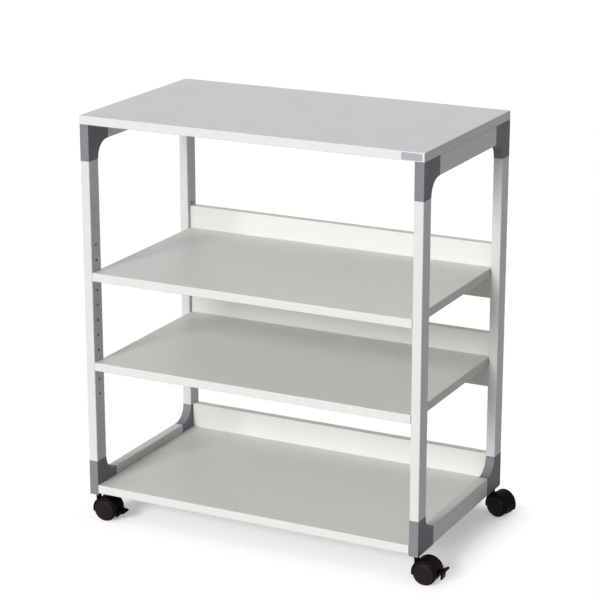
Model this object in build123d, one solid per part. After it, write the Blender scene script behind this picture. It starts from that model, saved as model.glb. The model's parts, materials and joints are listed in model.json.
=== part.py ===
"""Mobile printer stand: a four-level trolley on twin-wheel castors.

Two side frames of steel tube are joined by moulded corner connectors. A top board,
two height-adjustable shelves and a bottom shelf span between them. The lower
connectors carry the castor stems. Millimetres, +X right, +Y back, +Z up. The origin
is on the floor, at the centre of the frame's footprint.
"""
import os
from math import cos, radians, sin

from build123d import *

# ---- Overall sizes -------------------------------------------------------------
overall_width = 750.0        # over the outer faces of the side frames
overall_depth = 432.0        # over the front and back faces of the legs
frame_height = 790.0         # from the underside of the lower connectors to the top board
castor_height = 56.5         # from the floor to the underside of the lower connectors

# ---- Boards --------------------------------------------------------------------
board_thickness = 18.0
board_edge_radius = 1.0      # rounding of the edge banding
top_board_setback = 1.5      # the top board stops short of the legs' back faces
shelf_end_gap = 0.5          # between a board's end and the leg beside it
back_panel_height = 116.0    # the strip behind each adjustable shelf
bottom_panel_height = 72.0
bottom_shelf_lift = 4.0      # the bottom shelf's underside above the connectors' underside

# ---- Side frames ---------------------------------------------------------------
leg_width = 20.0             # the leg tube across X, and the rail tube across X
leg_depth = 36.0             # the leg tube across Y
rail_height = 40.0           # the rail tube across Z
tube_wall = 1.5
tube_corner_radius = 2.0

# ---- Holes for the shelves in each leg's inner face ----------------------------
hole_pitch = 32.0
hole_count = 11
hole_diameter = 6.4
top_hole_height = 595.5      # the top hole's centre above the floor
upper_shelf_hole_count = 2   # holes down from the top one to the one that carries each shelf
lower_shelf_hole_count = 8

# ---- Corner connectors ---------------------------------------------------------
gusset_radius = 35.0         # the curve inside the corner, from the rail to the leg
gusset_run_out = 4.0         # the straight length between the curve's end and the rail
connector_edge_radius = 1.0
same_place = 0.000001        # edges this close to a joint's plane lie in it
connector_wall = 2.5
spigot_length = 35.0
spigot_wall = 2.2
spigot_clearance = 0.1       # between a spigot and the inside of its tube, on each side
spigot_corner_radius = 1.0
spigot_lead_in = 0.8
core_depth = 28.0            # the hollow moulded into the connector's flat end
core_rib = 2.0

# ---- Castors -------------------------------------------------------------------
wheel_diameter = 50.0
wheel_width = 15.0           # from the wheel's inner side to its cap's edge
wheel_gap = 11.0             # between the twin wheels, for the housing
tread_width = 12.0
tread_edge_radius = 1.6
wheel_rim = 3.6              # thickness of the rim under the tread
wheel_cap_diameter = 42.6    # the cap that stands out past the tread
wheel_cap_edge_radius = 1.6
wheel_cap_wall = 3.0
wheel_dome = 1.2             # how far the cap's middle bulges out
wheel_cap_flat = 8.0         # diameter of the flat in the dome's middle
wheel_groove_width = 1.3     # the ring groove between the cap and the tread
wheel_groove_depth = 2.5
wheel_hub_diameter = 13.0
castor_trail = 22.5          # from the swivel axis to the axle
axle_diameter = 6.0
axle_cover = 2.5             # wheel material left outside the axle's end
running_clearance = 0.05     # radial, between a shaft and its bore
side_clearance = 0.3         # between parts that pass side by side
hood_clearance = 0.8         # between the wheels' tread and the hood
hood_thickness = 1.6
hood_width = 33.0
hood_rib_height = 0.5        # the raised rib round each edge of the hood
hood_rib_width = 1.6
hood_start = -24.0           # the hood's trailing end, in degrees above the axle's level
braked_hood_start = -10.0    # a braked castor's hood ends higher, to clear its lever
hood_end = 195.0
housing_hub_diameter = 12.0
stem_boss_diameter = 10.4
stem_boss_height = 46.0      # top of the housing's boss above the floor
stem_diameter = 8.0
stem_insertion = 22.0        # how far the stem goes up into its connector
stem_end_gap = 0.3
stem_bottom = 22.0           # the stem's lower end, pressed into the housing
stem_lead_in = 1.0

# ---- Brake lever, with its angles about the axle while it is pressed down ------
lever_width = 23.0
lever_thickness = 4.6
lever_travel = 34.0          # how far the lever turns down to lock the wheels
lever_pivot_radius = 18.2
lever_pivot_angle = 13.5
lever_pin_diameter = 3.0
lever_hub_diameter = 8.0
lever_arm_width = 5.6        # the arm between the wheels, from the pin to the pedal
lever_arm_thickness = 5.0
lever_bend_radius = 30.6     # where the arm, the pedal and the shoe meet
lever_bend_angle = -5.0
lever_tip_radius = 39.5
lever_tip_angle = -6.0
shoe_width = 17.0
shoe_end_angle = -36.0
shoe_thickness = 3.8         # at the shoe's lower end, which bears on the treads
shoe_clearance = 0.4         # between the shoe and the treads when it is pressed down

# ---- Swivel angle at rest, and brake, of each castor ---------------------------
castor_swivels = {"front_left": 3.0, "front_right": 1.0, "rear_left": 200.0, "rear_right": -16.0}
castor_brakes = {"front_left": "locked", "front_right": "released"}

# ---- Fasteners -----------------------------------------------------------------
fit_gap = 0.05               # radial, between a fastener and its hole
screw_diameter = 4.8
screw_head_diameter = 9.0
screw_head_height = 3.0
worktop_screw_length = 15.0
worktop_screw_setback = 41.0  # from a rail's end to the screw nearest it
panel_screw_length = 48.0
panel_screw_spacing = 230.0
access_hole_diameter = 11.0  # in a rail's lower wall, for the screwdriver
cam_diameter = 15.0
cam_height = 12.5
cam_setback = 34.0           # from a board's end to the cam's centre
cam_socket_width = 5.0
cam_socket_depth = 2.5
bolt_shank_diameter = 6.0
bolt_collar_diameter = 10.0
bolt_collar_height = 1.5
bolt_head_length = 4.0
bolt_neck_diameter = 4.0
bolt_neck_length = 3.0
bolt_thread_length = 7.0     # how far the bolt reaches through the tube's wall
bottom_bolt_setback = 46.0   # from a bottom rail's end to the bolt nearest it

# ---- Levels and faces worked out from the sizes above --------------------------
frame_top = castor_height + frame_height
half_width = overall_width / 2
half_depth = overall_depth / 2
inner_face = half_width - leg_width
leg_center_x = half_width - leg_width / 2
leg_center_y = half_depth - leg_depth / 2
leg_arm = rail_height + gusset_radius
rail_arm = leg_depth + gusset_radius + gusset_run_out
leg_bottom = castor_height + leg_arm
leg_top = frame_top - leg_arm
rail_half_length = half_depth - rail_arm
panel_front = leg_center_y - board_thickness / 2
panel_back = panel_front + board_thickness
board_length = 2 * (inner_face - shelf_end_gap)
upper_shelf_middle = top_hole_height - upper_shelf_hole_count * hole_pitch
lower_shelf_middle = top_hole_height - lower_shelf_hole_count * hole_pitch
bottom_shelf_bottom = castor_height + bottom_shelf_lift
bottom_shelf_middle = bottom_shelf_bottom + board_thickness / 2
wheel_radius = wheel_diameter / 2
worktop_screw_y = rail_half_length - worktop_screw_setback
bottom_bolt_y = rail_half_length - bottom_bolt_setback
castor_width = wheel_gap + 2 * wheel_width
axle_height = wheel_radius
hood_inner_radius = wheel_radius + hood_clearance
hood_outer_radius = hood_inner_radius + hood_thickness
housing_web = wheel_gap - 2 * side_clearance

parts = {}


def block(x_range, y_range, z_range):
    """A box between two X, two Y and two Z values."""
    ranges = (x_range, y_range, z_range)
    sizes = [high - low for low, high in ranges]
    middles = [(low + high) / 2 for low, high in ranges]
    return Pos(*middles) * Box(*sizes)


def rod(diameter, start, end):
    """A round rod from one point to another along X, Y or Z."""
    axis_plane = Plane(origin=start, z_dir=Vector(*end) - Vector(*start))
    length = (Vector(*end) - Vector(*start)).length
    return extrude(axis_plane * Circle(diameter / 2), length)


def joined(solids):
    """Several solids fused into one shape."""
    total = solids[0]
    for solid in solids[1:]:
        total = total + solid
    return total


def group(solids):
    """Separate solids kept together in one node."""
    return Compound(children=list(solids))


# ---- Boards --------------------------------------------------------------------
def board(x_range, y_range, z_range):
    """A board with its long edges slightly rounded."""
    plank = block(x_range, y_range, z_range)
    return fillet(plank.edges().filter_by(Axis.X), board_edge_radius)


def screw_bore(x, z):
    """The hole for one back-panel screw, through the panel and into the shelf."""
    shank = rod(screw_diameter + 2 * fit_gap, (x, panel_back, z), (x, panel_back - panel_screw_length, z))
    return shank + panel_screw_head(x, z, fit_gap)


def panel_screw_head(x, z, gap):
    """The countersunk head of a back-panel screw, flush with the panel's back."""
    head = Cone(
        screw_diameter / 2 + gap,
        screw_head_diameter / 2 + gap,
        screw_head_height,
        align=(Align.CENTER, Align.CENTER, Align.MIN),
    )
    return Pos(x, panel_back - screw_head_height, z) * Rot(-90, 0, 0) * head


def panel_screws(z):
    """The row of screws that holds a shelf's back edge to its panel."""
    tip = panel_back - panel_screw_length
    screws = []
    for x in screw_places():
        shank = rod(screw_diameter, (x, panel_back - screw_head_height, z), (x, tip, z))
        screws.append(shank + panel_screw_head(x, z, 0))
    return screws


def screw_places():
    """The X of each back-panel screw."""
    return [-panel_screw_spacing, 0.0, panel_screw_spacing]


# ---- Cam fasteners -------------------------------------------------------------
def cam_bolt(side, y, z):
    """A bolt through a tube's inner wall, with its head inside the board's cam."""
    wall = side * inner_face
    inward = -side
    thread_end = wall - inward * bolt_thread_length
    collar_end = wall + inward * bolt_collar_height
    head_end = wall + inward * (shelf_end_gap + cam_setback)
    neck_start = head_end - inward * (bolt_head_length + bolt_neck_length)
    head_start = head_end - inward * bolt_head_length
    return joined([
        rod(bolt_shank_diameter, (thread_end, y, z), (wall, y, z)),
        rod(bolt_collar_diameter, (wall, y, z), (collar_end, y, z)),
        rod(bolt_shank_diameter, (collar_end, y, z), (neck_start, y, z)),
        rod(bolt_neck_diameter, (neck_start, y, z), (head_start, y, z)),
        rod(bolt_shank_diameter, (head_start, y, z), (head_end, y, z)),
    ])


def cam_bolt_bore(side, y, z):
    """The holes that a board's end needs for one cam bolt."""
    wall = side * inner_face
    inward = -side
    deep_end = wall + inward * (shelf_end_gap + cam_setback)
    collar_end = wall + inward * (bolt_collar_height + fit_gap)
    bore = rod(bolt_shank_diameter + 2 * fit_gap, (wall, y, z), (deep_end, y, z))
    return bore + rod(bolt_collar_diameter + 2 * fit_gap, (wall, y, z), (collar_end, y, z))


def cam_center(side):
    """The X of a cam's centre."""
    return side * (inner_face - shelf_end_gap - cam_setback)


def cam(side, base, axis, y, z):
    """A cam disc with a slot for the bolt's head and a square socket for the key.

    base is the face that the cam is pushed in from, and axis is "Z" or "Y".
    """
    x = cam_center(side)
    if axis == "Z":
        disc = rod(cam_diameter, (x, y, base), (x, y, base + cam_height))
        socket = block(
            (x - cam_socket_width / 2, x + cam_socket_width / 2),
            (y - cam_socket_width / 2, y + cam_socket_width / 2),
            (base, base + cam_socket_depth),
        )
    else:
        disc = rod(cam_diameter, (x, base, z), (x, base - cam_height, z))
        socket = block(
            (x - cam_socket_width / 2, x + cam_socket_width / 2),
            (base - cam_socket_depth, base),
            (z - cam_socket_width / 2, z + cam_socket_width / 2),
        )
    rim = x + side * cam_diameter
    slot = rod(bolt_shank_diameter + 2 * fit_gap, (x, y, z), (rim, y, z))
    return disc - socket - slot


def cam_bore(side, base, axis, y, z):
    """The round pocket that a cam sits in."""
    x = cam_center(side)
    if axis == "Z":
        return rod(cam_diameter + 2 * fit_gap, (x, y, base), (x, y, base + cam_height + fit_gap))
    return rod(cam_diameter + 2 * fit_gap, (x, base, z), (x, base - cam_height - fit_gap, z))


def bored_for_cams(plank, sites):
    """A board with the pockets and bolt holes of its cam fasteners cut out."""
    for side, base, axis, y, z in sites:
        plank = plank - cam_bore(side, base, axis, y, z) - cam_bolt_bore(side, y, z)
    return plank


def cam_sites(places):
    """Each cam of a level as side, base, axis, y and z, on both ends of the board."""
    return [(side, *place) for side in (-1, 1) for place in places]


# ---- Shelves and back panels ---------------------------------------------------
def shelf_level(name, panel_name, middle, panel_low, panel_high, shelf_cams, panel_cams):
    """A shelf with its back panel and the fasteners that hold both of them."""
    low = middle - board_thickness / 2
    high = middle + board_thickness / 2
    x_range = (-board_length / 2, board_length / 2)
    shelf = board(x_range, (-half_depth, panel_front), (low, high))
    panel = board(x_range, (panel_front, panel_back), (panel_low, panel_high))
    sites = cam_sites(shelf_cams) + cam_sites(panel_cams)
    screw_bores = joined([screw_bore(x, middle) for x in screw_places()])
    parts[name] = bored_for_cams(shelf, cam_sites(shelf_cams)) - screw_bores
    parts[panel_name] = bored_for_cams(panel, cam_sites(panel_cams)) - screw_bores
    parts[name + "_cams"] = group(cam(*site) for site in sites)
    parts[name + "_cam_bolts"] = group(cam_bolt(side, y, z) for side, base, axis, y, z in sites)
    parts[panel_name + "_screws"] = group(panel_screws(middle))


def adjustable_level(name, panel_name, middle):
    """A shelf on the leg holes, with a back panel that stands above and below it."""
    low = middle - board_thickness / 2
    shelf_cams = [(low, "Z", -leg_center_y, middle)]
    panel_cams = [
        (panel_back, "Y", leg_center_y, middle - hole_pitch),
        (panel_back, "Y", leg_center_y, middle + hole_pitch),
    ]
    half_panel = back_panel_height / 2
    shelf_level(name, panel_name, middle, middle - half_panel, middle + half_panel, shelf_cams, panel_cams)


def make_boards():
    """The top board, the two adjustable shelves and the bottom shelf."""
    top = board(
        (-half_width, half_width),
        (-half_depth, half_depth - top_board_setback),
        (frame_top, frame_top + board_thickness),
    )
    for x, y in worktop_screw_places():
        tip = frame_top - tube_wall + worktop_screw_length
        top = top - rod(screw_diameter + 2 * fit_gap, (x, y, frame_top), (x, y, tip))
    parts["top_board"] = top
    adjustable_level("upper_shelf", "upper_back_panel", upper_shelf_middle)
    adjustable_level("lower_shelf", "lower_back_panel", lower_shelf_middle)
    bottom_cams = [
        (bottom_shelf_bottom, "Z", y, bottom_shelf_middle)
        for y in (-bottom_bolt_y, bottom_bolt_y)
    ]
    shelf_level(
        "bottom_shelf",
        "bottom_back_panel",
        bottom_shelf_middle,
        bottom_shelf_bottom,
        bottom_shelf_bottom + bottom_panel_height,
        bottom_cams,
        [],
    )


def worktop_screw_places():
    """The X and Y of each screw that holds the top board to its rails."""
    return [(side * leg_center_x, y) for side in (-1, 1) for y in (-worktop_screw_y, worktop_screw_y)]


def worktop_screws():
    """Screws from inside the top rails, up into the top board."""
    head_top = frame_top - tube_wall
    screws = []
    for x, y in worktop_screw_places():
        head = rod(screw_head_diameter, (x, y, head_top - screw_head_height), (x, y, head_top))
        shank = rod(screw_diameter, (x, y, head_top), (x, y, head_top + worktop_screw_length))
        screws.append(head + shank)
    return screws


# ---- Tubes ---------------------------------------------------------------------
def tube_section(plane, width, height):
    """The hollow section of a rectangular tube."""
    outer = RectangleRounded(width, height, tube_corner_radius)
    inner = RectangleRounded(
        width - 2 * tube_wall,
        height - 2 * tube_wall,
        tube_corner_radius - tube_wall,
    )
    return plane * (outer - inner)


def leg(side, y):
    """A leg tube with its row of shelf holes in the inner face."""
    plane = Plane(origin=(side * leg_center_x, y, leg_bottom), x_dir=(1, 0, 0), z_dir=(0, 0, 1))
    tube = extrude(tube_section(plane, leg_width, leg_depth), leg_top - leg_bottom)
    wall_inside = side * (inner_face + tube_wall)
    for index in range(hole_count):
        z = top_hole_height - index * hole_pitch
        tube = tube - rod(hole_diameter, (wall_inside, y, z), (side * inner_face, y, z))
    return tube


def rail(side, bottom):
    """A rail tube between two connectors."""
    middle = (side * leg_center_x, -rail_half_length, bottom + rail_height / 2)
    plane = Plane(origin=middle, x_dir=(1, 0, 0), z_dir=(0, 1, 0))
    return extrude(tube_section(plane, leg_width, rail_height), 2 * rail_half_length)


def make_frame_tubes():
    """Four legs and four rails."""
    for side, side_name in ((-1, "left"), (1, "right")):
        parts["leg_front_" + side_name] = leg(side, -leg_center_y)
        parts["leg_rear_" + side_name] = leg(side, leg_center_y)
        top_rail = rail(side, frame_top - rail_height)
        for x, y in worktop_screw_places():
            upper_wall = frame_top - tube_wall
            lower_wall = frame_top - rail_height
            top_rail = top_rail - rod(screw_diameter + 2 * fit_gap, (x, y, upper_wall), (x, y, frame_top))
            access = rod(access_hole_diameter, (x, y, lower_wall), (x, y, lower_wall + tube_wall))
            top_rail = top_rail - access
        parts["top_rail_" + side_name] = top_rail
        bottom_rail = rail(side, castor_height)
        for y in (-bottom_bolt_y, bottom_bolt_y):
            wall_inside = side * (inner_face + tube_wall)
            hole = rod(
                hole_diameter,
                (wall_inside, y, bottom_shelf_middle),
                (side * inner_face, y, bottom_shelf_middle),
            )
            bottom_rail = bottom_rail - hole
        parts["bottom_rail_" + side_name] = bottom_rail


# ---- Corner connectors ---------------------------------------------------------
# A connector is drawn in its own frame: Y runs in from its outer face along the rail,
# Z runs from its flat end along the leg, and X is centred on the tubes.
def connector_profile():
    """The side outline: two arms at a right angle with a curved gusset between."""
    arc_start = (0, leg_depth + gusset_radius, rail_height)
    arc_middle = (
        0,
        leg_depth + gusset_radius * (1 - cos(radians(45))),
        rail_height + gusset_radius * (1 - sin(radians(45))),
    )
    arc_end = (0, leg_depth, leg_arm)
    outline = [
        Line((0, 0, 0), (0, rail_arm, 0)),
        Line((0, rail_arm, 0), (0, rail_arm, rail_height)),
        Line((0, rail_arm, rail_height), arc_start),
        ThreePointArc(arc_start, arc_middle, arc_end),
        Line(arc_end, (0, 0, leg_arm)),
        Line((0, 0, leg_arm), (0, 0, 0)),
    ]
    return make_face(outline)


def spigot(width, height):
    """A hollow plug for the end of a tube, pointing along +Z from the origin."""
    inside = tube_wall + spigot_clearance
    outer_width = width - 2 * inside
    outer_height = height - 2 * inside
    plug = extrude(RectangleRounded(outer_width, outer_height, spigot_corner_radius), spigot_length)
    plug = chamfer(plug.faces().sort_by(Axis.Z)[-1].edges(), spigot_lead_in)
    hollow = extrude(
        Rectangle(outer_width - 2 * spigot_wall, outer_height - 2 * spigot_wall),
        spigot_length,
    )
    return plug - hollow


def connector_cores():
    """The moulded hollows beside the castor socket, open at the flat end."""
    core_width = leg_width - 2 * connector_wall
    start = leg_depth - connector_wall
    end = rail_arm - connector_wall
    rib_middle = (start + end) / 2
    pockets = []
    for low, high in ((start, rib_middle - core_rib / 2), (rib_middle + core_rib / 2, end)):
        pockets.append(block((-core_width / 2, core_width / 2), (low, high), (0, core_depth)))
    return pockets


def connector(with_socket):
    """One corner connector in its own frame."""
    body = extrude(connector_profile(), leg_width / 2, both=True)
    side_edges = body.faces().filter_by(Axis.X).edges()
    rounded = [edge for edge in side_edges if not is_joint_edge(edge)]
    body = fillet(rounded, connector_edge_radius)
    for pocket in connector_cores():
        body = body - pocket
    leg_plug = Pos(0, leg_depth / 2, leg_arm) * spigot(leg_width, leg_depth)
    rail_plug = Pos(0, rail_arm, rail_height / 2) * Rot(-90, 0, 0) * spigot(leg_width, rail_height)
    body = body + leg_plug + rail_plug
    if with_socket:
        socket_top = stem_insertion + stem_end_gap
        socket_diameter = stem_diameter + 2 * running_clearance
        body = body - rod(socket_diameter, (0, leg_depth / 2, 0), (0, leg_depth / 2, socket_top))
    return body


def is_joint_edge(edge):
    """Whether an edge lies where a tube or the top board meets the connector."""
    middle = edge.position_at(0.5)
    at_leg = abs(middle.Z - leg_arm) < same_place
    at_rail = abs(middle.Y - rail_arm) < same_place
    at_flat_end = abs(middle.Z) < same_place
    return at_leg or at_rail or at_flat_end


def make_connectors():
    """Eight connectors: the same moulding, upright below and turned over above."""
    lower = connector(with_socket=True)
    upper = connector(with_socket=False)
    for side, side_name in ((-1, "left"), (1, "right")):
        x = side * leg_center_x
        front_lower = Pos(x, -half_depth, castor_height) * lower
        front_upper = Pos(x, -half_depth, frame_top) * mirror(upper, Plane.XY)
        parts["lower_connector_front_" + side_name] = front_lower
        parts["upper_connector_front_" + side_name] = front_upper
        parts["lower_connector_rear_" + side_name] = mirror(front_lower, Plane.XZ)
        parts["upper_connector_rear_" + side_name] = mirror(front_upper, Plane.XZ)


# ---- Castors -------------------------------------------------------------------
# A castor is drawn with its swivel axis on Z, its floor at zero and its axle on +X.
def about_axle(radius, angle):
    """The X and Z of a point at a radius from the axle, its angle up from +X."""
    return (
        castor_trail + radius * cos(radians(angle)),
        axle_height + radius * sin(radians(angle)),
    )


def band(outer, inner, width):
    """A solid between two arcs in the XZ plane, centred on it.

    outer and inner each hold the radius and angle about the axle of an arc's three points.
    """
    outer_points = [(x, 0, z) for x, z in (about_axle(*point) for point in outer)]
    inner_points = [(x, 0, z) for x, z in (about_axle(*point) for point in inner)]
    face = make_face([
        ThreePointArc(*outer_points),
        Line(outer_points[-1], inner_points[-1]),
        ThreePointArc(*reversed(inner_points)),
        Line(inner_points[0], outer_points[0]),
    ])
    return extrude(face, width / 2, both=True)


def ring_sector(inner_radius, outer_radius, start, end, width):
    """A sector of a ring about the axle."""
    angles = (start, (start + end) / 2, end)
    outer = [(outer_radius, angle) for angle in angles]
    inner = [(inner_radius, angle) for angle in angles]
    return band(outer, inner, width)


def cross_rod(diameter, place, width):
    """A round rod along Y, centred on the XZ plane."""
    x, z = place
    return rod(diameter, (x, -width / 2, z), (x, width / 2, z))


def flat_bar(start, end, thickness, width):
    """A flat bar with round ends between two X and Z places, centred on the XZ plane."""
    run = Vector(end[0] - start[0], 0, end[1] - start[1])
    middle = ((start[0] + end[0]) / 2, 0, (start[1] + end[1]) / 2)
    plane = Plane(origin=middle, x_dir=run.normalized(), z_dir=(0, -1, 0))
    return extrude(plane * SlotCenterToCenter(run.length, thickness), width / 2, both=True)


def castor_housing(braked):
    """The moulded housing: web between the wheels, ribbed hood over them and stem boss."""
    start = braked_hood_start if braked else hood_start
    rib_radius = hood_outer_radius + hood_rib_height
    hood = ring_sector(hood_inner_radius, hood_outer_radius, start, hood_end, hood_width)
    for side in (-1, 1):
        rib = ring_sector(hood_inner_radius, rib_radius, start, hood_end, hood_rib_width)
        hood = hood + Pos(0, side * (hood_width - hood_rib_width) / 2, 0) * rib
    web = ring_sector(axle_diameter / 2, hood_outer_radius, start, hood_end, housing_web)
    hub = cross_rod(housing_hub_diameter, about_axle(0, 0), housing_web)
    boss = rod(stem_boss_diameter, (0, 0, axle_height), (0, 0, stem_boss_height))
    wheel_space = cross_rod(2 * hood_inner_radius, about_axle(0, 0), castor_width)
    housing = hood + web + hub + (boss - wheel_space)
    if braked:
        housing = housing - lever_slot()
        housing = housing - cross_rod(lever_pin_diameter, lever_pivot(), castor_width)
    housing = housing - cross_rod(axle_diameter, about_axle(0, 0), castor_width)
    return housing - rod(stem_diameter, (0, 0, stem_bottom), (0, 0, castor_height))


def lever_pivot():
    """The X and Z of the brake lever's pin."""
    return about_axle(lever_pivot_radius, lever_pivot_angle)


def lever_slot():
    """The slot in the housing's web and hood that the brake lever's arm moves in."""
    pivot_x, pivot_z = lever_pivot()
    room = lever_hub_diameter / 2 + side_clearance
    half_slot = lever_arm_width / 2 + side_clearance
    return block(
        (pivot_x - room, castor_trail + lever_tip_radius),
        (-half_slot, half_slot),
        (0, pivot_z + room),
    )


def castor_stem():
    """The steel stem, pressed into the housing and free to swivel in its connector."""
    stem = rod(stem_diameter, (0, 0, stem_bottom), (0, 0, castor_height + stem_insertion))
    top = stem.faces().sort_by(Axis.Z)[-1]
    return chamfer(top.edges(), stem_lead_in)


def castor_axle():
    """The steel axle through the web and both wheels."""
    return cross_rod(axle_diameter, about_axle(0, 0), castor_width - 2 * (axle_cover + side_clearance))


def castor_wheel(side):
    """One wheel: tread and rim, domed cap with a ring groove round it, and a hub on the axle.

    side is -1 for the wheel towards -Y and 1 for the wheel towards +Y.
    """
    inner = wheel_gap / 2
    outer = inner + wheel_width
    tread_outer = inner + tread_width
    groove_end = tread_outer - wheel_groove_depth
    cap_radius = wheel_cap_diameter / 2
    cap_inner_radius = cap_radius - wheel_cap_wall
    cap_back = outer - wheel_cap_wall
    rim_radius = wheel_radius - wheel_rim
    rim_back = groove_end - wheel_cap_wall
    hub_radius = wheel_hub_diameter / 2
    bore_radius = axle_diameter / 2 + running_clearance
    bore_end = outer - axle_cover
    dome_edge = cap_radius - 2 * wheel_cap_edge_radius
    hollow = Polyline(
        (bore_radius, inner),
        (hub_radius, inner),
        (hub_radius, cap_back),
        (cap_inner_radius, cap_back),
        (cap_inner_radius, rim_back),
        (rim_radius, rim_back),
        (rim_radius, inner),
    )
    tread = FilletPolyline(
        (rim_radius, inner),
        (wheel_radius, inner),
        (wheel_radius, tread_outer),
        (cap_radius + wheel_groove_width, tread_outer),
        radius=tread_edge_radius,
    )
    groove = Polyline(
        (cap_radius + wheel_groove_width, tread_outer),
        (cap_radius + wheel_groove_width, groove_end),
        (cap_radius, groove_end),
    )
    cap_edge = FilletPolyline(
        (cap_radius, groove_end),
        (cap_radius, outer),
        (dome_edge, outer),
        radius=wheel_cap_edge_radius,
    )
    dome_top = (wheel_cap_flat / 2, outer + wheel_dome)
    dome = TangentArc(dome_top, (dome_edge, outer), tangent=(1, 0))
    middle = Polyline(
        dome_top,
        (0, outer + wheel_dome),
        (0, bore_end),
        (bore_radius, bore_end),
        (bore_radius, inner),
    )
    wheel = revolve(make_face([hollow, tread, groove, cap_edge, dome, middle]), Axis.Y)
    if side < 0:
        wheel = mirror(wheel, Plane.XZ)
    return Pos(castor_trail, 0, axle_height) * wheel


def brake_lever():
    """The brake lever, pressed down: an arm on its pin, a pedal and a curved shoe."""
    bend = about_axle(lever_bend_radius, lever_bend_angle)
    tip = about_axle(lever_tip_radius, lever_tip_angle)
    hub = cross_rod(lever_hub_diameter, lever_pivot(), lever_arm_width)
    arm = flat_bar(lever_pivot(), bend, lever_arm_thickness, lever_arm_width)
    pedal = flat_bar(bend, tip, lever_thickness, lever_width)
    shoe_radius = wheel_radius + shoe_clearance
    shoe = band(
        spiral(lever_bend_radius + lever_thickness / 2, shoe_radius + shoe_thickness),
        spiral(lever_bend_radius - lever_thickness / 2, shoe_radius),
        shoe_width,
    )
    bore = cross_rod(lever_pin_diameter + 2 * running_clearance, lever_pivot(), castor_width)
    return hub + arm + pedal + shoe - bore


def spiral(start_radius, end_radius):
    """Three points of an arc that winds in from the lever's bend to the shoe's lower end."""
    middle_radius = (start_radius + end_radius) / 2
    middle_angle = (lever_bend_angle + shoe_end_angle) / 2
    return (
        (start_radius, lever_bend_angle),
        (middle_radius, middle_angle),
        (end_radius, shoe_end_angle),
    )


def lever_pin():
    """The pin that the brake lever turns on, through both cheeks of the web."""
    return cross_rod(lever_pin_diameter, lever_pivot(), housing_web)


def make_castors():
    """Four castors, each at its own swivel angle; the front pair has brakes."""
    pivot_x, pivot_z = lever_pivot()
    for corner, swivel in castor_swivels.items():
        x = leg_center_x if corner.endswith("right") else -leg_center_x
        y = leg_center_y if corner.startswith("rear") else -leg_center_y
        place = Pos(x, y, 0) * Rot(0, 0, swivel)
        braked = corner in castor_brakes
        name = "castor_" + corner + "_"
        parts[name + "housing"] = place * castor_housing(braked)
        parts[name + "stem"] = place * castor_stem()
        parts[name + "axle"] = place * castor_axle()
        parts[name + "wheel_a"] = place * castor_wheel(-1)
        parts[name + "wheel_b"] = place * castor_wheel(1)
        if braked:
            raised = lever_travel if castor_brakes[corner] == "released" else 0
            swing = Pos(pivot_x, 0, pivot_z) * Rot(0, -raised, 0) * Pos(-pivot_x, 0, -pivot_z)
            parts[name + "brake_lever"] = place * swing * brake_lever()
            parts[name + "brake_pin"] = place * lever_pin()


make_boards()
parts["worktop_screws"] = group(worktop_screws())
make_frame_tubes()
make_connectors()
make_castors()

os.makedirs("parts", exist_ok=True)
for node, shape in parts.items():
    export_step(shape, os.path.join("parts", node + ".step"))
print(len(parts), "nodes written")
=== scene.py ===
"""Dresses the mobile printer stand in its finishes, and adds its bare plate and its castors' stem sleeves.

The studio and the camera are made here too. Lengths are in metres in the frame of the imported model:
+X right, +Y back, +Z up, with the floor at zero.
"""

import json
import logging
import math
from dataclasses import dataclass, field
from enum import Enum

import bmesh
import bpy
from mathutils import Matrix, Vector


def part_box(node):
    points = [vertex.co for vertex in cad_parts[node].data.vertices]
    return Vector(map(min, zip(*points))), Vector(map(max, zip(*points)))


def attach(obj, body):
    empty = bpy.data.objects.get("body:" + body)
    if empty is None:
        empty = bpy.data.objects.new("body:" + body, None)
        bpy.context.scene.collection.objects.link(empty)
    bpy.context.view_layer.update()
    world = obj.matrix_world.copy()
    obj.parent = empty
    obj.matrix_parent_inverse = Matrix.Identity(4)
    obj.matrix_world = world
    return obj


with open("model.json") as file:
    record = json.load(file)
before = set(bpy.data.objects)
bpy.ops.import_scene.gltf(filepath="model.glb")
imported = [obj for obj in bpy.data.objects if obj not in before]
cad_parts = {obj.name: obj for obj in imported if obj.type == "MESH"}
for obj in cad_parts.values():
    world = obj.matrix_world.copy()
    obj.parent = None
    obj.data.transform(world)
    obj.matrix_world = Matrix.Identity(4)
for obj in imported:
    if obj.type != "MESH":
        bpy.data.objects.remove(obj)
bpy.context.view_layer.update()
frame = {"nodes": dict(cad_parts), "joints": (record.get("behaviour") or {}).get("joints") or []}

log = logging.getLogger("printer_stand")

Color = tuple[float, float, float]
Point = tuple[float, float, float]
Value = float | tuple[float, ...] | bpy.types.NodeSocket

WHITE = (1.0, 1.0, 1.0, 1.0)
BLACK = (0.0, 0.0, 0.0, 1.0)


class Axis(Enum):
    """A direction of the frame, as a unit vector."""

    X = (1.0, 0.0, 0.0)
    Y = (0.0, 1.0, 0.0)
    Z = (0.0, 0.0, 1.0)


class Effect(Enum):
    """The shared surface effects, by the name of their node group."""

    TONE_DRIFT = "tone_drift"
    MOULD_GRAIN = "mould_grain"
    METAL_FLECK = "metal_fleck"
    BRUSHED_LINES = "brushed_lines"
    BAND_MASK = "band_mask"
    WHEEL_RINGS = "wheel_rings"


def linear(color: Color) -> tuple[float, float, float, float]:
    """Turns a display colour into the linear colour that shaders use, by the sRGB curve.

    Args:
        color: Red, green and blue as shown on a screen, each from 0 to 255.

    Returns:
        Linear red, green, blue and an alpha of 1.
    """
    channels = []
    for value in color:
        share = value / 255
        channels.append(share / 12.92 if share <= 0.04045 else ((share + 0.055) / 1.055) ** 2.4)
    return (channels[0], channels[1], channels[2], 1.0)


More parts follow.
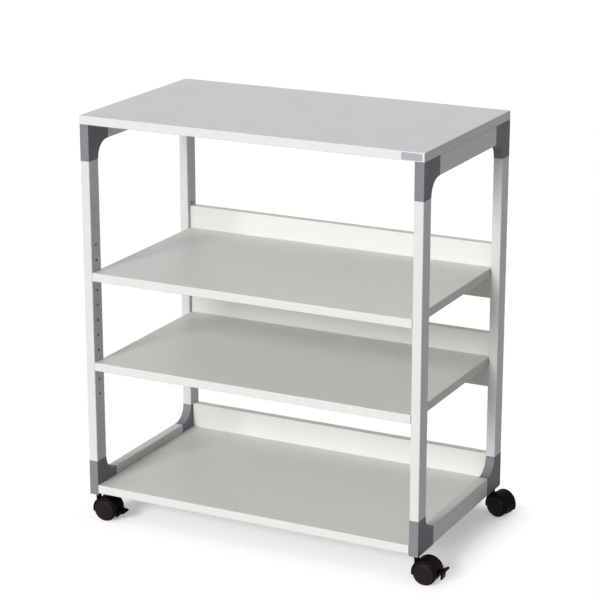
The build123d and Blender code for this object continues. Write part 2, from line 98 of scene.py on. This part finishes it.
@dataclass
class NodeBench:
    """Adds nodes to one shader tree and joins them up."""

    tree: bpy.types.NodeTree
    column: int = 0
    column_width: int = 200

    def add(self, kind: str, settings: dict[str, object] | None = None, **inputs: Value) -> bpy.types.Node:
        """Adds a node.

        Args:
            kind: The node's type, such as "ShaderNodeTexNoise".
            settings: Values for the node's own properties.
            **inputs: Values or output sockets for the inputs. An underscore in a name stands for a space.

        Returns:
            The new node.
        """
        node = self.tree.nodes.new(kind)
        node.location = (self.column * self.column_width, 0)
        self.column += 1
        for name, value in (settings or {}).items():
            setattr(node, name, value)
        for name, value in inputs.items():
            self.feed(node, name.replace("_", " "), value)
        return node

    def feed(self, node: bpy.types.Node, name: str, value: Value) -> None:
        """Sets an input, or links an output socket to it.

        Args:
            node: The node whose input it is.
            name: The input's name, or "in 0", "in 1" and so on for an input by its place.
            value: A constant, or an output socket.
        """
        socket = node.inputs[int(name[3:])] if name.startswith("in ") else node.inputs[name]
        if isinstance(value, bpy.types.NodeSocket):
            self.tree.links.new(value, socket)
        else:
            socket.default_value = value

    def math(self, operation: str, first: Value, second: Value = 0.0) -> bpy.types.NodeSocket:
        """Adds a Math node and returns its output."""
        node = self.add("ShaderNodeMath", {"operation": operation}, in_0=first, in_1=second)
        return node.outputs[0]

    def vector(self, operation: str, first: Value, second: Value = (0.0, 0.0, 0.0)) -> bpy.types.Node:
        """Adds a Vector Math node and returns it."""
        return self.add("ShaderNodeVectorMath", {"operation": operation}, in_0=first, in_1=second)

    def spread(
        self, value: Value, low: float, high: float, to_low: Value, to_high: Value
    ) -> bpy.types.NodeSocket:
        """Adds a clamped Map Range node and returns its output."""
        limits = {"From_Min": low, "From_Max": high, "To_Min": to_low, "To_Max": to_high}
        return self.add("ShaderNodeMapRange", None, Value=value, **limits).outputs[0]

    def swing(
        self, value: Value, middle: Value, reach: Value, low: float = 0.3, high: float = 0.7
    ) -> bpy.types.NodeSocket:
        """Turns a value into one that swings about a middle.

        Args:
            value: A value that runs from low to high, such as noise.
            middle: The middle of the result.
            reach: How far the result swings to each side.
            low: The value that gives the lowest result.
            high: The value that gives the highest result.

        Returns:
            The swinging value.
        """
        least = self.math("SUBTRACT", middle, reach)
        most = self.math("ADD", middle, reach)
        return self.spread(value, low, high, least, most)

    def tint(self, blend: str, amount: Value, first: Value, second: Value) -> bpy.types.NodeSocket:
        """Adds a Mix node for colours, by the places of its colour sockets, and returns its output."""
        settings = {"data_type": "RGBA", "blend_type": blend}
        return self.add("ShaderNodeMix", settings, in_0=amount, in_6=first, in_7=second).outputs[2]


@dataclass
class EffectShelf:
    """Builds each shared effect once, as a node group with named inputs and outputs."""

    made: dict[Effect, bpy.types.NodeTree] = field(default_factory=dict)
    grains_in_sheen_patch: float = 60.0
    fleck_limits: tuple[float, float] = (0.35, 0.9)
    band_limits: tuple[float, float] = (0.75, 0.95)
    tread_edge: float = 0.0004
    cap_edge: float = 0.0003

    def group(self, effect: Effect) -> bpy.types.NodeTree:
        """Returns an effect's node group, and builds it the first time.

        Args:
            effect: The effect.

        Returns:
            Its node group.
        """
        if effect not in self.made:
            self.made[effect] = getattr(self, effect.value)()
        return self.made[effect]

    def start(
        self, effect: Effect, inputs: dict[str, float | Point | Color], outputs: dict[str, str]
    ) -> tuple[NodeBench, bpy.types.Node, bpy.types.Node]:
        """Starts a node group.

        Args:
            effect: The effect, whose value names the group.
            inputs: Each input's name and default: one number, or three for a vector.
            outputs: Each output's name and kind, "Float" or "Color".

        Returns:
            A bench on the new group, its input node and its output node.
        """
        tree = bpy.data.node_groups.new(effect.value, "ShaderNodeTree")
        for name, default in inputs.items():
            kind = "NodeSocketFloat" if isinstance(default, float) else "NodeSocketVector"
            if name == "Color":
                kind = "NodeSocketColor"
            socket = tree.interface.new_socket(name=name, in_out="INPUT", socket_type=kind)
            socket.default_value = default
        for name, kind in outputs.items():
            tree.interface.new_socket(name=name, in_out="OUTPUT", socket_type="NodeSocket" + kind)
        bench = NodeBench(tree)
        return bench, bench.add("NodeGroupInput"), bench.add("NodeGroupOutput")

    def place(self, bench: NodeBench) -> bpy.types.NodeSocket:
        """Adds the surface's own coordinates, in metres."""
        return bench.add("ShaderNodeTexCoord").outputs["Object"]

    def noise(
        self, bench: NodeBench, size: Value, detail: float, stretch: Value | None = None
    ) -> bpy.types.NodeSocket:
        """Adds noise on the surface's own coordinates.

        Args:
            bench: The bench of the group that gets the noise.
            size: The size of one patch, in metres.
            detail: How many finer layers the noise has.
            stretch: A vector that scales the coordinates first, or nothing.

        Returns:
            The noise value, about 0.3 to 0.7.
        """
        where = self.place(bench)
        if stretch is not None:
            where = bench.vector("MULTIPLY", where, stretch).outputs[0]
        scale = bench.math("DIVIDE", 1.0, size)
        return bench.add("ShaderNodeTexNoise", None, Vector=where, Scale=scale, Detail=detail).outputs[0]

    def tone_drift(self) -> bpy.types.NodeTree:
        """Slow changes of tone over a surface.

        Returns:
            The effect's node group.
        """
        bench, given, result = self.start(
            Effect.TONE_DRIFT,
            {"Color": (0.8, 0.8, 0.8, 1.0), "Amount": 0.03, "Size": 0.2},
            {"Color": "Color"},
        )
        value = self.noise(bench, given.outputs["Size"], detail=3.0)
        tone = bench.swing(value, 1.0, given.outputs["Amount"])
        bench.feed(result, "Color", bench.tint("MULTIPLY", 1.0, given.outputs["Color"], tone))
        return bench.tree

    def mould_grain(self) -> bpy.types.NodeTree:
        """The fine grain of a moulded or pressed surface: its height and its roughness.

        Returns:
            The effect's node group.
        """
        bench, given, result = self.start(
            Effect.MOULD_GRAIN,
            {"Size": 0.0006, "Roughness": 0.5, "Variation": 0.08},
            {"Height": "Float", "Roughness": "Float"},
        )
        fine = self.noise(bench, given.outputs["Size"], detail=2.0)
        patch = bench.math("MULTIPLY", given.outputs["Size"], self.grains_in_sheen_patch)
        broad = self.noise(bench, patch, detail=3.0)
        bench.feed(result, "Height", fine)
        roughness = bench.swing(broad, given.outputs["Roughness"], given.outputs["Variation"])
        bench.feed(result, "Roughness", roughness)
        return bench.tree

    def metal_fleck(self) -> bpy.types.NodeTree:
        """The small bright flakes and soft ripple of a metallic powder coat.

        Returns:
            The effect's node group.
        """
        bench, given, result = self.start(
            Effect.METAL_FLECK,
            {
                "Color": (0.7, 0.7, 0.7, 1.0),
                "Fleck Size": 0.0008,
                "Brightness": 0.1,
                "Shine": 0.3,
                "Ripple Size": 0.002,
            },
            {"Color": "Color", "Metallic": "Float", "Height": "Float"},
        )
        scale = bench.math("DIVIDE", 1.0, given.outputs["Fleck Size"])
        cells = bench.add("ShaderNodeTexVoronoi", None, Vector=self.place(bench), Scale=scale)
        fleck = bench.spread(cells.outputs["Color"], *self.fleck_limits, 0.0, 1.0)
        tone = bench.swing(fleck, 1.0, given.outputs["Brightness"], low=0.0, high=1.0)
        bench.feed(result, "Color", bench.tint("MULTIPLY", 1.0, given.outputs["Color"], tone))
        bench.feed(result, "Metallic", bench.math("MULTIPLY", fleck, given.outputs["Shine"]))
        bench.feed(result, "Height", self.noise(bench, given.outputs["Ripple Size"], detail=1.0))
        return bench.tree

    def brushed_lines(self) -> bpy.types.NodeTree:
        """Fine lines along one direction, as on drawn or brushed metal.

        Returns:
            The effect's node group.
        """
        bench, given, result = self.start(
            Effect.BRUSHED_LINES,
            {"Stretch": (1.0, 1.0, 1.0), "Size": 0.0003, "Roughness": 0.35, "Variation": 0.12},
            {"Height": "Float", "Roughness": "Float"},
        )
        lines = self.noise(bench, given.outputs["Size"], detail=3.0, stretch=given.outputs["Stretch"])
        bench.feed(result, "Height", lines)
        roughness = bench.swing(lines, given.outputs["Roughness"], given.outputs["Variation"])
        bench.feed(result, "Roughness", roughness)
        return bench.tree

    def band_mask(self) -> bpy.types.NodeTree:
        """Where a board shows its edge banding instead of its wide faces.

        Returns:
            The effect's node group.
        """
        bench, given, result = self.start(Effect.BAND_MASK, {"Face": (0.0, 0.0, 1.0)}, {"Mask": "Float"})
        normal = bench.add("ShaderNodeTexCoord").outputs["Normal"]
        along = bench.vector("DOT_PRODUCT", normal, given.outputs["Face"]).outputs["Value"]
        turned = bench.math("ABSOLUTE", along)
        bench.feed(result, "Mask", bench.spread(turned, *self.band_limits, 1.0, 0.0))
        return bench.tree

    def wheel_rings(self) -> bpy.types.NodeTree:
        """Rings about a wheel's axle: the tread, and the groove between the tread and the cap, where
        painted shade goes.

        Returns:
            The effect's node group.
        """
        bench, given, result = self.start(
            Effect.WHEEL_RINGS,
            {
                "Axle Point": (0.0, 0.0, 0.0),
                "Axle Axis": (0.0, 1.0, 0.0),
                "Cap Radius": 0.0211,
                "Tread Radius": 0.0224,
            },
            {"Tread": "Float", "Groove Shade": "Float"},
        )
        offset = bench.vector("SUBTRACT", self.place(bench), given.outputs["Axle Point"]).outputs[0]
        across = bench.vector("CROSS_PRODUCT", offset, given.outputs["Axle Axis"]).outputs[0]
        radius = bench.vector("LENGTH", across).outputs["Value"]
        past_cap = bench.math("SUBTRACT", radius, given.outputs["Cap Radius"])
        past_groove = bench.math("SUBTRACT", radius, given.outputs["Tread Radius"])
        tread = bench.spread(past_groove, 0.0, self.tread_edge, 0.0, 1.0)
        beyond_cap = bench.spread(past_cap, 0.0, self.cap_edge, 0.0, 1.0)
        bench.feed(result, "Tread", tread)
        # The groove's mask carries painted shade: a near-black ring between the cap and the tread.
        bench.feed(result, "Groove Shade", bench.math("SUBTRACT", beyond_cap, tread))
        return bench.tree


effects = EffectShelf()


@dataclass
class Surface:
    """One material as it is being made: a bench on its tree and its shader."""

    name: str
    material: bpy.types.Material = field(init=False)
    shader: bpy.types.Node = field(init=False)
    bench: NodeBench = field(init=False)

    def __post_init__(self) -> None:
        """Makes the material with its shader."""
        self.material = bpy.data.materials.new(self.name)
        self.material.use_nodes = True
        tree = self.material.node_tree
        self.shader = tree.nodes["Principled BSDF"]
        self.bench = NodeBench(tree, column=2)

    def effect(self, effect: Effect, **inputs: Value) -> bpy.types.bpy_prop_collection:
        """Places a shared effect in this material.

        Args:
            effect: The effect.
            **inputs: This material's own values. An underscore in a name stands for a space.

        Returns:
            The effect's outputs, by name.
        """
        node = self.bench.add("ShaderNodeGroup", {"node_tree": effects.group(effect)}, **inputs)
        return node.outputs

    def tone(self, color: Color, amount: float, size: float) -> bpy.types.NodeSocket:
        """Returns a colour that drifts by an amount over patches of a size."""
        return self.effect(Effect.TONE_DRIFT, Color=linear(color), Amount=amount, Size=size)["Color"]

    def relief(self, height: bpy.types.NodeSocket, strength: float, depth: float) -> None:
        """Turns a height into the shader's normal.

        Args:
            height: The height over the surface, about 0 to 1.
            strength: How strongly the relief shows.
            depth: The relief's depth, in metres.
        """
        bump = self.bench.add("ShaderNodeBump", None, Strength=strength, Distance=depth, Height=height)
        self.set(Normal=bump.outputs[0])

    def set(self, **inputs: Value) -> None:
        """Sets or links inputs of the shader."""
        for name, value in inputs.items():
            self.bench.feed(self.shader, name.replace("_", " "), value)


@dataclass(frozen=True)
class MelamineFinish:
    """Melamine-faced board with banded edges."""

    name: str
    face: Axis
    color: Color = (207, 207, 204)
    band_color: Color = (204, 204, 202)
    drift: float = 0.012
    drift_size: float = 0.18
    roughness: float = 0.42
    roughness_swing: float = 0.05
    specular: float = 0.4
    grain_size: float = 0.0007
    grain_depth: float = 0.00006
    grain_strength: float = 0.25

    def material(self) -> bpy.types.Material:
        """Makes the melamine: pressed pearl grain on the faces, smoother banding on the edges.

        Returns:
            The material.
        """
        surface = Surface(self.name)
        tone = surface.tone(self.color, self.drift, self.drift_size)
        band = surface.effect(Effect.BAND_MASK, Face=self.face.value)["Mask"]
        grain = surface.effect(
            Effect.MOULD_GRAIN,
            Size=self.grain_size,
            Roughness=self.roughness,
            Variation=self.roughness_swing,
        )
        surface.set(Base_Color=surface.bench.tint("MIX", band, tone, linear(self.band_color)))
        surface.set(Roughness=grain["Roughness"], Specular_IOR_Level=self.specular)
        surface.relief(grain["Height"], self.grain_strength, self.grain_depth)
        return surface.material


@dataclass(frozen=True)
class PowderCoatFinish:
    """Silver-grey powder coat on steel tube."""

    name: str = "tube_powder_coat"
    color: Color = (201, 203, 201)
    drift: float = 0.015
    drift_size: float = 0.12
    fleck_contrast: float = 0.03
    shine: float = 0.12
    roughness: float = 0.42
    specular: float = 0.35
    ripple_depth: float = 0.00005
    ripple_strength: float = 0.2

    def material(self) -> bpy.types.Material:
        """Makes the coat: metal flecks, a soft ripple and a slow drift of tone.

        Returns:
            The material.
        """
        surface = Surface(self.name)
        tone = surface.tone(self.color, self.drift, self.drift_size)
        fleck = surface.effect(
            Effect.METAL_FLECK,
            Color=tone,
            Brightness=self.fleck_contrast,
            Shine=self.shine,
        )
        surface.set(Base_Color=fleck["Color"], Metallic=fleck["Metallic"])
        surface.set(Roughness=self.roughness, Specular_IOR_Level=self.specular)
        surface.relief(fleck["Height"], self.ripple_strength, self.ripple_depth)
        return surface.material


@dataclass(frozen=True)
class MouldedFinish:
    """Moulded plastic with a spark-eroded grain."""

    name: str
    color: Color
    roughness: float
    roughness_swing: float = 0.06
    drift: float = 0.03
    drift_size: float = 0.03
    specular: float = 0.5
    grain_size: float = 0.0006
    grain_depth: float = 0.00008
    grain_strength: float = 0.35

    def material(self) -> bpy.types.Material:
        """Makes the plastic: grain in the relief and the sheen, and a slight drift of tone.

        Returns:
            The material.
        """
        surface = Surface(self.name)
        tone = surface.tone(self.color, self.drift, self.drift_size)
        grain = surface.effect(
            Effect.MOULD_GRAIN,
            Size=self.grain_size,
            Roughness=self.roughness,
            Variation=self.roughness_swing,
        )
        surface.set(Base_Color=tone, Roughness=grain["Roughness"], Specular_IOR_Level=self.specular)
        surface.relief(grain["Height"], self.grain_strength, self.grain_depth)
        return surface.material


@dataclass(frozen=True)
class WheelFinish:
    """Black nylon wheel, satin on its cap and dull on its tread, with painted shade making the groove
    between them darker.
    """

    name: str
    axle_point: Point
    axle_axis: Point
    cap_color: Color = (23, 15, 17)
    tread_color: Color = (14, 9, 11)
    # Painted shade: the near-black colour of the groove, a recess in the same nylon.
    groove_shade_color: Color = (3, 2, 3)
    drift: float = 0.05
    drift_size: float = 0.02
    cap_roughness: float = 0.34
    tread_roughness: float = 0.6
    roughness_swing: float = 0.05
    specular: float = 0.13
    grain_size: float = 0.0005
    grain_depth: float = 0.00006
    grain_strength: float = 0.3

    def material(self) -> bpy.types.Material:
        """Makes the nylon, with its rings centred on the wheel's axle.

        Returns:
            The material.
        """
        surface = Surface(self.name)
        bench = surface.bench
        rings = surface.effect(Effect.WHEEL_RINGS, Axle_Point=self.axle_point, Axle_Axis=self.axle_axis)
        tone = surface.tone(self.cap_color, self.drift, self.drift_size)
        grain = surface.effect(
            Effect.MOULD_GRAIN,
            Size=self.grain_size,
            Roughness=self.cap_roughness,
            Variation=self.roughness_swing,
        )
        mixed = bench.tint("MIX", rings["Tread"], tone, linear(self.tread_color))
        # Paints shade into the groove between the cap and the tread.
        mixed = bench.tint("MIX", rings["Groove Shade"], mixed, linear(self.groove_shade_color))
        dull = bench.math("MULTIPLY", rings["Tread"], self.tread_roughness - self.cap_roughness)
        roughness = bench.math("ADD", grain["Roughness"], dull)
        surface.set(Base_Color=mixed, Roughness=roughness, Specular_IOR_Level=self.specular)
        surface.relief(grain["Height"], self.grain_strength, self.grain_depth)
        return surface.material


@dataclass(frozen=True)
class BareMetalFinish:
    """Plated or bare metal with fine lines along one axis."""

    name: str
    color: Color
    along: Axis
    roughness: float = 0.34
    line_size: float = 0.0004
    line_shrink: float = 0.03
    line_depth: float = 0.00003
    line_strength: float = 0.2
    drift: float = 0.04
    drift_size: float = 0.01

    def material(self) -> bpy.types.Material:
        """Makes the metal, with its lines drawn out along its axis.

        Returns:
            The material.
        """
        surface = Surface(self.name)
        stretch = tuple(self.line_shrink if share else 1.0 for share in self.along.value)
        lines = surface.effect(
            Effect.BRUSHED_LINES,
            Stretch=stretch,
            Size=self.line_size,
            Roughness=self.roughness,
        )
        tone = surface.tone(self.color, self.drift, self.drift_size)
        surface.set(Base_Color=tone, Roughness=lines["Roughness"], Metallic=1.0)
        surface.relief(lines["Height"], self.line_strength, self.line_depth)
        return surface.material


def dress(node: str, material: bpy.types.Material) -> None:
    """Gives a CAD node a material.

    Args:
        node: The node's name.
        material: The material for all its faces.
    """
    piece = frame["nodes"][node]
    piece.data.materials.clear()
    piece.data.materials.append(material)
    log.info("%s: %s", node, material.name)


def nodes_with(*words: str) -> list[str]:
    """Lists the CAD nodes whose name holds every one of the words."""
    return sorted(name for name in frame["nodes"] if all(word in name for word in words))


def skinned(name: str, loops: list[list[Point]], ends_joined: bool) -> bpy.types.Object:
    """Skins a row of closed loops with faces.

    Args:
        name: The new piece's name.
        loops: The loops in order along the skin, each with the same number of points.
        ends_joined: True to join the last loop to the first, and False to close both ends.

    Returns:
        The new piece, without a material.
    """
    shape = bmesh.new()
    rows = [[shape.verts.new(point) for point in loop] for loop in loops]
    pairs = list(zip(rows, rows[1:]))
    if ends_joined:
        pairs.append((rows[-1], rows[0]))
    else:
        shape.faces.new(rows[0])
        shape.faces.new(rows[-1])
    for first, second in pairs:
        for index, vertex in enumerate(first):
            after = (index + 1) % len(first)
            shape.faces.new((vertex, first[after], second[after], second[index]))
    bmesh.ops.recalc_face_normals(shape, faces=shape.faces)
    mesh = bpy.data.meshes.new(name)
    shape.to_mesh(mesh)
    shape.free()
    piece = bpy.data.objects.new(name, mesh)
    bpy.context.collection.objects.link(piece)
    return piece


@dataclass
class Boards:
    """The worktop, the shelves and their back panels."""

    shelves: tuple[str, ...] = ("top_board", "upper_shelf", "lower_shelf", "bottom_shelf")
    panels: tuple[str, ...] = ("upper_back_panel", "lower_back_panel", "bottom_back_panel")

    def dress(self) -> None:
        """Gives flat boards and upright panels their melamine."""
        flat = MelamineFinish("board_melamine", Axis.Z).material()
        upright = MelamineFinish("panel_melamine", Axis.Y).material()
        for node in self.shelves:
            dress(node, flat)
        for node in self.panels:
            dress(node, upright)


@dataclass
class SideFrames:
    """The tubes and the moulded corner connectors."""

    plastic: MouldedFinish = MouldedFinish("connector_plastic", (122, 121, 127), 0.52, specular=0.12)

    def dress(self) -> None:
        """Gives the tubes their powder coat and the connectors their plastic."""
        coat = PowderCoatFinish().material()
        plastic = self.plastic.material()
        for node in nodes_with("leg_") + nodes_with("_rail_"):
            dress(node, coat)
        for node in nodes_with("_connector_"):
            dress(node, plastic)


@dataclass
class Castors:
    """The twin-wheel castors and their brakes."""

    corners: tuple[str, ...] = ("front_left", "front_right", "rear_left", "rear_right")
    sleeve_radius: float = 0.0056
    sleeve_bore: float = 0.00405
    sleeve_foot: float = 0.0455
    sleeve_clearance: float = 0.0003
    sleeve_chamfer: float = 0.0005
    sleeve_steps: int = 48
    sharp_angle: float = 30.0
    plastic: MouldedFinish = MouldedFinish("castor_plastic", (12, 5, 8), 0.45, drift=0.06, specular=0.03)
    steel: BareMetalFinish = BareMetalFinish("castor_steel", (186, 188, 190), Axis.Z)

    def build_sleeve(self, corner: str, plastic: bpy.types.Material) -> bpy.types.Object:
        """Turns the sleeve round a castor's stem, between its housing and its connector.

        Args:
            corner: The castor's corner, as in the nodes' names.
            plastic: The castor's plastic.

        Returns:
            The sleeve, which swivels with the castor.
        """
        low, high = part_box(f"castor_{corner}_stem")
        middle = Vector(((low[0] + high[0]) / 2, (low[1] + high[1]) / 2, 0.0))
        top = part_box(f"lower_connector_{corner}")[0][2] - self.sleeve_clearance
        profile = (
            (self.sleeve_radius, self.sleeve_foot),
            (self.sleeve_radius, top - self.sleeve_chamfer),
            (self.sleeve_radius - self.sleeve_chamfer, top),
            (self.sleeve_bore, top),
            (self.sleeve_bore, self.sleeve_foot),
        )
        angles = [2 * math.pi * step / self.sleeve_steps for step in range(self.sleeve_steps)]
        round_it = [Vector((math.cos(angle), math.sin(angle), 0.0)) for angle in angles]
        loops = [
            [tuple(middle + way * radius + Vector((0.0, 0.0, level))) for way in round_it]
            for radius, level in profile
        ]
        sleeve = skinned(f"castor_{corner}_stem_sleeve", loops, ends_joined=True)
        sleeve.data.shade_smooth()
        sleeve.data.set_sharp_from_angle(angle=math.radians(self.sharp_angle))
        sleeve.data.materials.append(plastic)
        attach(sleeve, f"castor_{corner}")
        log.info("%s: %s", sleeve.name, plastic.name)
        return sleeve

    def dress(self) -> None:
        """Gives the castors' pieces their finishes, and adds the stems' sleeves."""
        plastic = self.plastic.material()
        steel = self.steel.material()
        turning = {joint["name"]: joint for joint in frame["joints"]}
        for corner in self.corners:
            prefix = f"castor_{corner}_"
            axle = turning[f"roll_{corner}_a"]
            wheel = WheelFinish(f"wheel_nylon_{corner}", tuple(axle["pos_m"]), tuple(axle["axis"]))
            nylon = wheel.material()
            for node in nodes_with(prefix):
                if "wheel" in node:
                    dress(node, nylon)
                elif node.endswith(("_housing", "_lever")):
                    dress(node, plastic)
                else:
                    dress(node, steel)
            self.build_sleeve(corner, plastic)


@dataclass
class Fasteners:
    """The screws, cam bolts and cams."""

    steel: BareMetalFinish = BareMetalFinish("screw_steel", (166, 168, 171), Axis.Y)
    zinc: BareMetalFinish = BareMetalFinish("cam_zinc", (138, 138, 136), Axis.X, 0.5, 0.0008)

    def dress(self) -> None:
        """Gives screws and bolts their steel and cams their zinc."""
        steel = self.steel.material()
        zinc = self.zinc.material()
        for node in nodes_with("screws") + nodes_with("bolts"):
            dress(node, steel)
        for node in nodes_with("_cams"):
            dress(node, zinc)


@dataclass
class BarePlate:
    """The small blank metal plate on the worktop's front edge."""

    length: float = 0.042
    height: float = 0.0135
    thickness: float = 0.0006
    corner_radius: float = 0.0012
    border: float = 0.0008
    center_x: float = 0.349
    corner_steps: int = 6
    rounding_lost: float = 0.6
    edge_chamfer: float = 0.3
    border_slope: float = 0.3
    field_drop: float = 0.25
    finish: BareMetalFinish = BareMetalFinish("plate_aluminium", (150, 152, 156), Axis.X, 0.42, 0.0003)

    def outline(self, inset: float) -> list[tuple[float, float]]:
        """Draws the plate's rounded outline.

        Args:
            inset: How far inside the plate's edge the outline lies.

        Returns:
            The outline's points across and up, about the plate's middle.
        """
        radius = self.corner_radius - min(inset, self.corner_radius * self.rounding_lost)
        half_length = self.length / 2 - inset - radius
        half_height = self.height / 2 - inset - radius
        points = []
        for quarter, (side, level) in enumerate(((1, 1), (-1, 1), (-1, -1), (1, -1))):
            for step in range(self.corner_steps + 1):
                angle = math.pi / 2 * (quarter + step / self.corner_steps)
                across = side * half_length + radius * math.cos(angle)
                up = level * half_height + radius * math.sin(angle)
                points.append((across, up))
        return points

    def build(self) -> bpy.types.Object:
        """Builds the plate with its turned edge and a shallow pressed border.

        Returns:
            The plate, seated on the worktop's front edge.
        """
        low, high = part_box("top_board")
        middle_z = (low[2] + high[2]) / 2
        front = low[1]
        rings = (
            (0.0, 0.0),
            (0.0, self.thickness * (1 - self.edge_chamfer)),
            (self.thickness * self.edge_chamfer, self.thickness),
            (self.border, self.thickness),
            (self.border * (1 + self.border_slope), self.thickness * (1 - self.field_drop)),
        )
        loops = [
            [(self.center_x + across, front - proud, middle_z + up) for across, up in self.outline(inset)]
            for inset, proud in rings
        ]
        plate = skinned("bare_plate", loops, ends_joined=False)
        plate.data.materials.append(self.finish.material())
        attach(plate, "frame")
        log.info("bare_plate: %s", self.finish.name)
        return plate


@dataclass(frozen=True)
class SoftLamp:
    """One broad soft light from far away. Its glare is whether it shows in reflections."""

    name: str
    strength: float
    direction: Point
    spread: float
    glare: bool = True

    def hang(self) -> bpy.types.Object:
        """Hangs the lamp, shining along its direction.

        Returns:
            The lamp.
        """
        data = bpy.data.lights.new(self.name, "SUN")
        data.energy = self.strength
        data.angle = math.radians(self.spread)
        lamp = bpy.data.objects.new(self.name, data)
        lamp.rotation_euler = Vector(self.direction).to_track_quat("-Z", "Y").to_euler()
        lamp.visible_glossy = self.glare
        bpy.context.collection.objects.link(lamp)
        return lamp


@dataclass
class Studio:
    """The floor, the surrounding light and the lamps."""

    floor_size: float = 60.0
    floor_color: Color = (250, 250, 250)
    floor_bounce: Color = (170, 170, 170)
    floor_roughness: float = 0.9
    floor_specular: float = 0.1
    floor_lift: float = 0.28
    shadow_half: tuple[float, float] = (0.385, 0.195)
    shadow_reach: tuple[float, float] = (0.0, 0.08)
    ambient: float = 0.23
    lights: tuple[SoftLamp, ...] = (
        SoftLamp("key", 3.25, (0.12, 0.92, -0.36), 24.0),
        SoftLamp("fill", 0.7, (0.40, 0.80, -0.40), 110.0),
        SoftLamp("back", 1.1, (0.42, -0.90, -0.06), 40.0, glare=False),
    )

    def seen_rays(self, bench: NodeBench) -> bpy.types.NodeSocket:
        """Picks out the rays that show the white studio: those seen directly, mirrored or through glass.

        Args:
            bench: The bench of the tree that asks.

        Returns:
            1 for such a ray and 0 for any other.
        """
        path = bench.add("ShaderNodeLightPath")
        seen = bench.math("MAXIMUM", path.outputs["Is Camera Ray"], path.outputs["Is Glossy Ray"])
        return bench.math("MAXIMUM", seen, path.outputs["Is Transmission Ray"])

    def beyond_shadow(self, bench: NodeBench) -> bpy.types.NodeSocket:
        """Marks the part of the floor that is plain white.

        Args:
            bench: The bench of the floor's tree.

        Returns:
            0 on the floor close to the stand, rising to 1 where the floor is plain white.
        """
        where = bench.add("ShaderNodeTexCoord").outputs["Object"]
        place = bench.add("ShaderNodeSeparateXYZ", None, in_0=where)
        outside = []
        for axis, half in enumerate(self.shadow_half):
            past = bench.math("SUBTRACT", bench.math("ABSOLUTE", place.outputs[axis]), half)
            outside.append(bench.math("MAXIMUM", past, 0.0))
        squared = [bench.math("MULTIPLY", past, past) for past in outside]
        distance = bench.math("SQRT", bench.math("ADD", squared[0], squared[1]))
        low, high = self.shadow_reach
        return bench.spread(distance, low, high, 0.0, 1.0)

    def floor(self) -> bpy.types.Object:
        """Builds the floor, which shows white and keeps the object's shadow.

        Returns:
            The floor.
        """
        half = self.floor_size / 2
        mesh = bpy.data.meshes.new("floor")
        corners = [(-half, -half, 0), (half, -half, 0), (half, half, 0), (-half, half, 0)]
        mesh.from_pydata(corners, [], [(0, 1, 2, 3)])
        floor = bpy.data.objects.new("floor", mesh)
        bpy.context.collection.objects.link(floor)
        material = bpy.data.materials.new("studio_floor")
        material.use_nodes = True
        shader = material.node_tree.nodes["Principled BSDF"]
        shader.inputs["Roughness"].default_value = self.floor_roughness
        shader.inputs["Specular IOR Level"].default_value = self.floor_specular
        shader.inputs["Emission Color"].default_value = WHITE
        bench = NodeBench(material.node_tree, column=2)
        seen = self.seen_rays(bench)
        near = bench.tint("MIX", self.beyond_shadow(bench), linear(self.floor_color), BLACK)
        bench.feed(shader, "Base Color", bench.tint("MIX", seen, linear(self.floor_bounce), near))
        lift = bench.spread(self.beyond_shadow(bench), 0.0, 1.0, self.floor_lift, 1.0)
        bench.feed(shader, "Emission Strength", bench.math("MULTIPLY", seen, lift))
        mesh.materials.append(material)
        return floor

    def surroundings(self) -> None:
        """Sets a soft even light all round, which is seen as white."""
        world = bpy.data.worlds.new("studio")
        bpy.context.scene.world = world
        world.use_nodes = True
        background = world.node_tree.nodes["Background"]
        background.inputs["Color"].default_value = WHITE
        bench = NodeBench(world.node_tree, column=2)
        bench.feed(background, "Strength", bench.spread(self.seen_rays(bench), 0.0, 1.0, self.ambient, 1.0))

    def build(self) -> None:
        """Builds the whole studio."""
        self.floor()
        self.surroundings()
        for light in self.lights:
            light.hang()
        log.info("studio: floor, surroundings and %d lamps", len(self.lights))


@dataclass
class StudioCamera:
    """The camera, by where it looks and from which side."""

    azimuth: float = 26.711
    elevation: float = 16.777
    distance: float = 4.5
    target: Point = (0.0017, 0.0143, 0.4694)
    lens: float = 131.08
    sensor_width: float = 36.0
    clip_start: float = 0.1
    clip_end: float = 200.0

    def build(self) -> bpy.types.Object:
        """Sets up the camera and makes it the scene's own.

        Returns:
            The camera.
        """
        turn = math.radians(self.azimuth)
        tilt = math.radians(self.elevation)
        away = Vector((math.sin(turn) * math.cos(tilt), -math.cos(turn) * math.cos(tilt), math.sin(tilt)))
        data = bpy.data.cameras.new("camera")
        data.sensor_width = self.sensor_width
        data.lens = self.lens
        data.clip_start = self.clip_start
        data.clip_end = self.clip_end
        camera = bpy.data.objects.new("camera", data)
        camera.location = Vector(self.target) + away * self.distance
        camera.rotation_euler = (-away).to_track_quat("-Z", "Y").to_euler()
        bpy.context.collection.objects.link(camera)
        bpy.context.scene.camera = camera
        return camera


def main() -> None:
    """Dresses the stand, then builds the studio and the camera."""
    logging.basicConfig(level=logging.INFO, format="%(message)s")
    bpy.context.scene.view_settings.view_transform = "Standard"
    for assembly in (Boards(), SideFrames(), Castors(), Fasteners()):
        assembly.dress()
        log.info("%s dressed", type(assembly).__name__)
    BarePlate().build()
    Studio().build()
    StudioCamera().build()


if __name__ == "__main__":
    main()
